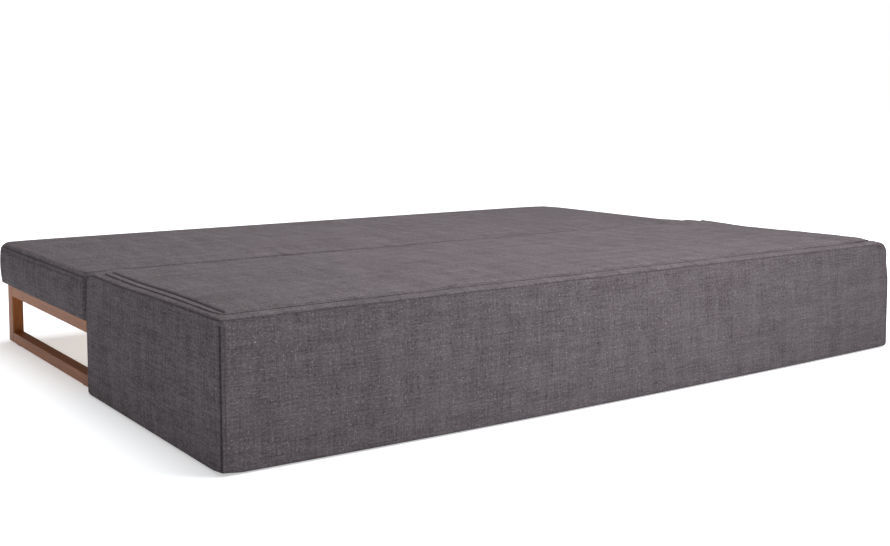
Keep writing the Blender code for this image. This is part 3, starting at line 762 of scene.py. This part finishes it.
def shapeBack(flat, low, high, at):
    look = SimpleNamespace(**backLook)
    points = roundBox(flat, low, high, *backRolls(flat, high))
    # the top: a border that climbs to the lip's seam, then the crowned middle panel
    lip = look.lipInset
    climb = look.border * np.clip(at.inset / lip, 0, 1) ** look.borderPower
    climb += look.topRise * smooth(at.inset, lip - look.riseFrom, lip + look.riseTo)
    crown = look.crown * dome(at.u, 4) * arch(at.v, 0.6)
    lift = (climb + crown) * smooth(at.far, 0.0, look.topFade)
    lift -= look.lipDrop * bell(at.inset - lip, look.lipDropWide) * (at.far > lipLook["start"])
    points[:, 2] += np.where(at.onTop, lift, 0.0)
    # the front bows out, and the front and the ends swell a little
    bow = look.frontBow * dome(at.u, 2) * (1 - look.bowHigh * at.h)
    points[:, 1] -= bow * within(at.near, 0.0, look.bowFade) * np.where(at.onTop, look.bowTop, 1.0)
    points[:, 1] -= np.where(at.onNear, look.frontPuff * dome(at.u, 6) * arch(at.h, look.puffPower), 0.0)
    endSwell = look.sidePuff * dome(at.v, 4) * arch(at.h, look.puffPower)
    points[:, 0] += np.where(at.onRight, endSwell, 0.0) - np.where(at.onLeft, endSwell, 0.0)
    # the hem rises at the junction and at the near left corner
    points[:, 2] += look.hemRise * within(at.far, 0.0, look.hemFade) * within(at.h, 0.0, look.hemHigh)
    nearCorner = within(at.left, 0.0, look.cornerFade) * within(at.near, 0.0, look.cornerFade)
    points[:, 2] += look.cornerLift * nearCorner * within(at.h, 0.0, look.cornerHigh)
    # the front's top edge stands a little proud, and the right end flares out at its foot
    points[:, 2] += look.proud * smooth(at.far, *look.proudFade) * within(at.drop, 0.0, look.proudDrop)
    points[:, 0] += look.flare * (1 - at.h) * smooth(at.u, look.flareFrom, 1.0)
    ends = np.maximum(smooth(at.u, look.earFrom, 1.0),
                      look.earLeft * smooth(1 - at.u, look.earLeftFrom, 1.0))
    ear = ends * within(at.far, *look.earFade) * within(at.drop, 0.0, look.earDrop)
    points[:, 2] += look.ear * ear
    points[:, 0] -= np.where(at.onTop, lipLean(at.left, at.near), 0.0)
    # slow unevenness, calmed near the seams
    uneven = ripple(flat, 3, look.unevenSize, look.uneven)
    calm = smooth(at.inset, *look.calmInset) * smooth(at.far, *look.calmJunction)
    points[:, 2] += np.where(at.onTop, uneven * calm, 0.0)
    points[:, 1] += np.where(at.onNear, uneven * arch(at.h, 1) * look.unevenFront, 0.0)
    points[:, 0] += np.where(at.onLeft | at.onRight, uneven * arch(at.h, 1), 0.0)
    return points


def puffBack(points, low, high):
    def isPinned(spots):
        edges = np.minimum(spots - low, high - spots)
        atEdge = np.sort(edges, axis=1)[:, 1] < clothLook["pinEdge"]
        side = np.minimum(edges[:, 0], spots[:, 1] - low[1])
        atLip = (spots[:, 2] > high[2] - 1e-6) & (np.abs(side - backLook["lipInset"]) < clothLook["pinLip"])
        still = (spots[:, 2] < low[2] + clothLook["pinEdge"]) | (spots[:, 1] > high[1] - 1e-6)
        return atEdge | atLip | still

    def rolls(spots):
        return backRolls(spots, high)

    return addPuff(points, puffField("backPuff", low, high, rolls, isPinned))


def backSeamShade(at):
    # the pull of the sewn seams, and the painted shade along each seam line, under the lip, at the hem and
    # at the junction
    look = SimpleNamespace(**backSeams)
    lip = backLook["lipInset"]
    # the roll seam's line pulls the cloth and carries painted shade in its groove
    rollSeam = bell(at.drop - look.drop, look.wide) * (at.onNear | at.onLeft | at.onRight)
    leftward = (at.left < at.near) & (at.u < 0.5)
    rightward = (at.right < at.near) & (at.u > 0.5)
    # painted shade along the lip's seam, strongest along the left side and faint along the front
    strength = np.where(leftward, look.lipLeft, np.where(rightward, look.lipRight, look.lipFront))
    # painted contact shadow under the lip's free edge
    lipEdge = bell(at.inset - lip + lipWidth(at.near) + look.edgeGap, look.edgeWide)
    lipEdge = lipEdge * np.where(leftward, look.edgeLeft, look.edgeElse)
    # painted shade where the panel steps up behind the lip's seam
    rootAt = lip + np.where(leftward, look.rootLeft, look.rootElse)
    lipRoot = bell(at.inset - rootAt, np.where(leftward, look.rootWideLeft, look.rootWideElse))
    lipSeam = strength * np.maximum(lipRoot, lipEdge) * at.onTop * (at.far > lipLook["start"])
    fromEnd = np.minimum(at.left, at.right)
    below = at.drop > look.below
    # painted shade in the corner seams and, fainter, in the topstitched grooves beside them
    cornerSeam = bell(fromEnd, look.cornerWide) * (at.near < look.cornerFrom) * below
    topStitch = bell(fromEnd - look.stitchInset, look.stitchWide) * at.onNear * below
    # painted shade along the hem at the foot
    hem = smooth(look.hemHigh - at.foot, 0.0, look.hemSoft) * look.hemShade
    # painted shade in the gap where the back meets the seat
    junction = look.junctionShade * within(at.far, *look.junctionFade) * (at.drop < look.junctionDrop)
    shade = look.shade * rollSeam + lipSeam + look.cornerShade * cornerSeam
    shade += look.stitchShade * topStitch + hem + junction
    return rollSeam + cornerSeam, np.clip(shade, 0, look.darkest)


def buildBackCover(material):
    low, high = boxOf("back_cover")
    low[2] = backLook["hem"]
    mesh = backGrid(low, high)
    flat = readPoints(mesh)
    at = measure(flat, low, high)
    at.inset = np.minimum(np.minimum(at.left, at.right), at.near)
    points = shapeBack(flat, low, high, at)
    points = puffBack(points, low, high)
    over = np.maximum(points[:, 2] - high[2] - backLook["flatFrom"], 0.0)
    points[:, 2] -= over * backLook["flatten"]
    pull, shade = backSeamShade(at)
    outward = points - (low + high) / 2
    outward /= np.linalg.norm(outward, axis=1)[:, None]
    writePoints(mesh, points - outward * pull[:, None] * backSeams["pull"])
    cover = finishCover("backCoverCloth", mesh, material, shade, backLook["thickness"])
    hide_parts("back_cover")
    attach(cover, "back")
    print("back cover sewn:", len(mesh.polygons), "faces")
    return cover


# the seat's cover
seatLook = dict(step=0.020, upStep=0.012, thickness=0.002, returnWide=0.004, roll=0.012, nearRoll=0.010,
                farRoll=0.020, corner=0.026, cornerRight=0.034, foot=0.0012, farFade=(0.03, 0.10),
                cornerFade=(0.03, 0.1), crown=0.004, crownPower=0.5, sidePuff=0.005, puffPower=0.9,
                ear=0.0035, earFrom=0.90, earFade=(0.02, 0.14), leftRise=0.0025, uneven=0.0011,
                unevenSize=0.34, calm=(0.02, 0.08))
# the seat's seams: their pull on the cloth, and painted shade in their grooves and in the gap at the back
seatSeams = dict(drop=0.011, wide=0.0015, pull=0.0014, shade=0.8, stitchDrop=0.020, stitchPull=0.0006,
                 stitchShade=0.25, junctionShade=0.4, junctionFade=(0.002, 0.014), darkest=0.95)


def seatRolls(points, low, high):
    look = SimpleNamespace(**seatLook)
    far = within(high[1] - points[:, 1], *look.farFade)
    lowRoll = np.empty((len(points), 3))
    highRoll = np.empty((len(points), 3))
    lowRoll[:, 0] = blend(look.roll, look.corner, far)
    highRoll[:, 0] = blend(look.roll, look.cornerRight, far)
    lowRoll[:, 1] = look.nearRoll
    fromEnd = np.minimum(points[:, 0] - low[0], high[0] - points[:, 0])
    corner = np.where(points[:, 0] > 0, look.cornerRight, look.corner)
    highRoll[:, 1] = blend(look.farRoll, corner, within(fromEnd, *look.cornerFade))
    lowRoll[:, 2] = look.foot
    highRoll[:, 2] = blend(look.roll, look.farRoll, far)
    return lowRoll, highRoll


def seatGrid(low, high):
    side = [0.0, 0.003, 0.006, 0.010, 0.014, 0.020, 0.028, 0.036, 0.050]
    far = [0.0, 0.005, 0.010, 0.015, 0.020, 0.025, 0.030, 0.036, 0.050]
    foot = [0.0, 0.003, 0.006, 0.012]
    top = [0.0, 0.004, 0.008, 0.0095, 0.011, 0.0125, 0.015, 0.0185, 0.020, 0.0215, 0.028]
    cuts = [axisCuts(low[0], high[0], seatLook["step"], side, side),
            axisCuts(low[1], high[1], seatLook["step"], side, far),
            axisCuts(low[2], high[2], seatLook["upStep"], foot, top)]

    def keepFace(axis, atHigh, middle):
        return openFoot(axis, atHigh, middle, low, high, seatLook["returnWide"])

    return boxGrid("seatCoverCloth", cuts, keepFace)


def shapeSeat(flat, low, high, at):
    look = SimpleNamespace(**seatLook)
    points = roundBox(flat, low, high, *seatRolls(flat, low, high))
    crown = look.crown * dome(at.u, 6) * arch(at.v, look.crownPower)
    uneven = ripple(flat, 11, look.unevenSize, look.uneven)
    inset = np.minimum(np.minimum(at.left, at.right), np.minimum(at.near, at.far))
    points[:, 2] += np.where(at.onTop, crown + uneven * smooth(inset, *look.calm), 0.0)
    ear = look.ear * smooth(at.u, look.earFrom, 1.0) * within(at.near, *look.earFade)
    points[:, 2] += (ear + look.leftRise * (1 - at.u)) * smooth(at.h, 0.5, 1.0)
    swell = look.sidePuff * arch(at.h, look.puffPower)
    points[:, 0] += np.where(at.onRight, swell, 0.0) - np.where(at.onLeft, swell, 0.0)
    points[:, 1] += np.where(at.onFar, swell, 0.0)
    return points


def puffSeat(points, low, high):
    def isPinned(spots):
        edges = np.minimum(spots - low, high - spots)
        atEdge = np.sort(edges, axis=1)[:, 1] < clothLook["pinEdge"]
        still = (spots[:, 2] < low[2] + clothLook["pinEdge"]) | (spots[:, 1] < low[1] + 1e-6)
        return atEdge | still

    def rolls(spots):
        return seatRolls(spots, low, high)

    return addPuff(points, puffField("seatPuff", low, high, rolls, isPinned))


def buildSeatCover(material):
    look = SimpleNamespace(**seatSeams)
    low, high = boxOf("seat_cover")
    mesh = seatGrid(low, high)
    flat = readPoints(mesh)
    at = measure(flat, low, high)
    points = shapeSeat(flat, low, high, at)
    points = puffSeat(points, low, high)
    side = at.onLeft | at.onRight | at.onFar
    # the seam lines pull the cloth in and carry painted shade in their grooves
    rollSeam = bell(at.drop - look.drop, look.wide) * side
    topStitch = bell(at.drop - look.stitchDrop, look.wide) * side
    outward = points - (low + high) / 2
    outward[:, 2] = 0
    outward /= np.maximum(np.linalg.norm(outward, axis=1), 1e-6)[:, None]
    pull = rollSeam * look.pull + topStitch * look.stitchPull
    writePoints(mesh, points - outward * pull[:, None])
    # painted shade in the gap where the seat meets the back
    junction = look.junctionShade * within(at.near, *look.junctionFade) * at.onTop
    shade = look.shade * rollSeam + look.stitchShade * topStitch + junction
    shade = np.clip(shade, 0, look.darkest)
    cover = finishCover("seatCoverCloth", mesh, material, shade, seatLook["thickness"])
    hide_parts("seat_cover")
    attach(cover, "seat")
    print("seat cover sewn:", len(mesh.polygons), "faces")
    return cover


# the flat lip sewn round the back's top panel
def cornerPath(x, y, fromAngle):
    # a quarter turn round a corner's centre, with outward directions
    path = []
    for angle in range(fromAngle, fromAngle + 91, 15):
        out = (math.cos(math.radians(angle)), math.sin(math.radians(angle)))
        path.append(((x + lipLook["turn"] * out[0], y + lipLook["turn"] * out[1]), out))
    return path


def lipPath(low, high):
    # points and outward directions round the left, front and right sides, at the seam
    inset = backLook["lipInset"]
    left, right = low[0] + inset, high[0] - inset
    front, end = low[1] + inset, high[1] - lipLook["start"]
    turn, step = lipLook["turn"], lipLook["step"]
    path = [((left, y), (-1.0, 0.0)) for y in np.arange(end, front + turn, -step)]
    path += cornerPath(left + turn, front + turn, 180)
    path += [((x, front), (0.0, -1.0)) for x in np.arange(left + turn + step, right - turn, step)]
    path += cornerPath(right - turn, front + turn, 270)
    path += [((right, y), (1.0, 0.0)) for y in np.arange(front + turn + step, end, step)]
    return path


def lipSection(wide, thick):
    # out along the strip's top and back along its underside: distance from the seam, and height
    look = SimpleNamespace(**lipLook)
    under = -look.under
    return [(-look.root, 0.0), (look.stitched, thick * 0.7), (wide * 0.5, thick * 0.95),
            (wide - look.edge, thick), (wide - look.edgeTurn, thick * 0.75), (wide, thick * 0.4),
            (wide - look.under, under), (wide * 0.5, under)]


def buildLip(cover, material):
    look = SimpleNamespace(**lipLook)
    low, high = boxOf("back_cover")
    cloth = cover.evaluated_get(bpy.context.evaluated_depsgraph_get())

    def heightAt(x, y):
        return cloth.ray_cast((x, y, high[2] + 0.05), (0.0, 0.0, -1.0))[1].z

    path = lipPath(low, high)
    verts = []
    for number, ((x, y), out) in enumerate(path):
        near = y - low[1]
        wide = float(lipWidth(near))
        sideward = float(smooth(near, *look.thickFade))
        thick = blend(look.thinFront, look.thick, sideward)
        level = heightAt(x - float(lipLean(x - low[0], near)), y)
        fromTip = math.hypot(high[0] - backLook["lipInset"] - x, near - backLook["lipInset"])
        nearTip = float(within(fromTip, 0.0, look.tipLong))
        cock = look.cock * (out[0] > 0.5) + look.tip * nearTip
        wide -= look.tipNarrow * nearTip
        x -= look.tipShift * nearTip
        for along, up in lipSection(wide, thick):
            px, py = x + out[0] * along, y + out[1] * along
            px -= float(lipLean(px - low[0], py - low[1]))
            surface = heightAt(px, py)
            if cock > 0.01:
                surface = max(surface, level + cock * along)
            wave = look.wave * math.sin(number * 0.9) * math.sin(number * 0.37 + 1.0) * along / wide
            lift = (look.rise * along / wide + wave) * sideward
            verts.append((px, py, surface + up + lift + look.lift))
    count = len(lipSection(look.wide, look.thick))
    faces = []
    for ring in range(len(path) - 1):
        for k in range(count):
            a = ring * count + k
            b = ring * count + (k + 1) % count
            faces.append((a, b, b + count, a + count))
    faces.append(tuple(range(count))[::-1])
    last = (len(path) - 1) * count
    faces.append(tuple(range(last, last + count)))
    lip = addPiece("backTopLip", verts, faces, material)
    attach(lip, "back")
    print("lip laid:", len(path), "stations")


# the dust cloth stapled under the back's ribs
dustLook = dict(step=0.012, sag=0.0030, sagReach=0.14, wave=0.0004, waveSize=0.16, pucker=0.0008,
                puckerReach=0.030, staplePitch=0.072, thickness=0.0006,
                ribs=("back_hinge_rib_left", "back_middle_rib", "back_hinge_rib_right"))


def buildDustCloth(material):
    look = SimpleNamespace(**dustLook)
    low, high = (np.array(corner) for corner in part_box("back_dust_cloth"))
    wide, deep = high[0] - low[0], high[1] - low[1]
    columns = round(wide / look.step) + 1
    rows = round(deep / look.step) + 1
    across = np.linspace(low[0], high[0], columns)
    points = np.array([(x, y, high[2]) for y in np.linspace(low[1], high[1], rows) for x in across])
    faces = []
    for row in range(rows - 1):
        for column in range(columns - 1):
            first = row * columns + column
            faces.append((first, first + 1, first + 1 + columns, first + columns))
    ribs = [(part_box(name)[0][0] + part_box(name)[1][0]) / 2 for name in look.ribs]
    fromRib = np.min([np.abs(points[:, 0] - rib) for rib in ribs], axis=0)
    slack = 1 - bell(fromRib, look.sagReach)
    between = np.sin(math.pi * (points[:, 1] - low[1]) / look.staplePitch) ** 2
    hang = look.sag * slack
    hang += look.pucker * between * bell(fromRib, look.puckerReach)
    hang += ripple(points, 19, look.waveSize, look.wave) * slack
    points[:, 2] -= np.maximum(hang, 0.0)
    cloth = addPiece("backDustSheet", points.tolist(), faces, material)
    shell = cloth.modifiers.new("clothThickness", "SOLIDIFY")
    shell.thickness = look.thickness
    shell.offset = -1.0
    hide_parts("back_dust_cloth")
    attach(cloth, "back")
    print("dust cloth stapled:", len(faces), "faces")


# rows of stitches
stitchLook = dict(long=0.0036, pitch=0.0052, radius=0.00045, sunk=0.0001, taper=0.36, seatDrop=0.0205,
                  seatNear=0.012, seatEnds=0.035, backFoot=0.014, backTop=0.012)


def stitchRow(name, cover, stations, body, material):
    # stations are (outside point, direction to the cloth, direction of the row)
    look = SimpleNamespace(**stitchLook)
    cloth = cover.evaluated_get(bpy.context.evaluated_depsgraph_get())
    taper = look.taper
    verts = []
    faces = []
    for outside, inward, along in stations:
        found, spot, facing, _ = cloth.ray_cast(outside, inward)
        if not found:
            continue
        along = (along - facing * along.dot(facing)).normalized()
        across = facing.cross(along)
        middle = spot + facing * look.sunk
        first = len(verts)
        verts.append(middle - along * look.long * 0.5)
        for share in (-taper, taper):
            centre = middle + along * look.long * share
            for side, up in ((1, 0), (0, 1), (-1, 0), (0, -1)):
                verts.append(centre + (across * side + facing * up) * look.radius)
        verts.append(middle + along * look.long * 0.5)
        for k in range(4):
            after = (k + 1) % 4
            faces.append((first, first + 1 + after, first + 1 + k))
            faces.append((first + 1 + k, first + 1 + after, first + 5 + after, first + 5 + k))
            faces.append((first + 5 + k, first + 5 + after, first + 9))
    row = addPiece(name, verts, faces, material)
    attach(row, body)


def seatStitches(cover, thread):
    look = SimpleNamespace(**stitchLook)
    low, high = (Vector(corner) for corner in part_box("seat_cover"))
    z = high.z - look.seatDrop
    margin = look.seatEnds
    stations = []
    for y in np.arange(low.y + look.seatNear, high.y - margin, look.pitch):
        stations.append((Vector((low.x - 0.05, y, z)), Vector((1, 0, 0)), Vector((0, 1, 0))))
        stations.append((Vector((high.x + 0.05, y, z)), Vector((-1, 0, 0)), Vector((0, 1, 0))))
    for x in np.arange(low.x + margin, high.x - margin, look.pitch):
        stations.append((Vector((x, high.y + 0.05, z)), Vector((0, -1, 0)), Vector((1, 0, 0))))
    stitchRow("seatTopstitch", cover, stations, "seat", thread)


def backStitches(cover, thread):
    low, high = (Vector(corner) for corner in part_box("back_cover"))
    inset = backSeams["stitchInset"]
    stations = []
    for z in np.arange(low.z + stitchLook["backFoot"], high.z - stitchLook["backTop"], stitchLook["pitch"]):
        for x in (low.x + inset, high.x - inset):
            stations.append((Vector((x, low.y - 0.08, z)), Vector((0, 1, 0)), Vector((0, 0, 1))))
    stitchRow("backCornerStitch", cover, stations, "back", thread)


# build
addCamera()
addSky()
addFloor()
addLamps()
bpy.context.scene.view_settings.view_transform = "Standard"
print("camera and light set")

mottle = makeMottle()
woodGrain = makeWoodGrain()
charcoalTweed = makeTweedMaterial("charcoalTweed", makePanelCoords(), makeTweed())
woods = {}
kinds = {"oiled_walnut": ("walnut", walnut), "pine": ("pine", pine), "plywood": ("birch", birch)}
for slot, (label, look) in kinds.items():
    woods[slot] = [makeWoodMaterial(f"{label}Along{axis}", look, woodGrain, k)
                   for k, axis in enumerate("XYZ")]
mottled = {slot: makeMottledMaterial(look, mottle) for slot, look in mottledLooks.items()}
print("materials made:", len(bpy.data.materials))

slotOf = {entry["node"]: entry["material_slot"] for entry in frame["record"]["subparts"]}
for name, node in nodes.items():
    slot = slotOf[name]
    lowest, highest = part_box(name)
    longAxis = max(range(3), key=lambda axis: highest[axis] - lowest[axis])
    chosen = woods[slot][longAxis] if slot in woods else mottled.get(slot)
    if chosen:
        node.material_slots[0].material = chosen

backCover = buildBackCover(charcoalTweed)
seatCover = buildSeatCover(charcoalTweed)
buildLip(backCover, charcoalTweed)
buildDustCloth(mottled["black_lining"])
seatStitches(seatCover, mottled["thread"])
backStitches(backCover, mottled["thread"])
print("stitches laid")
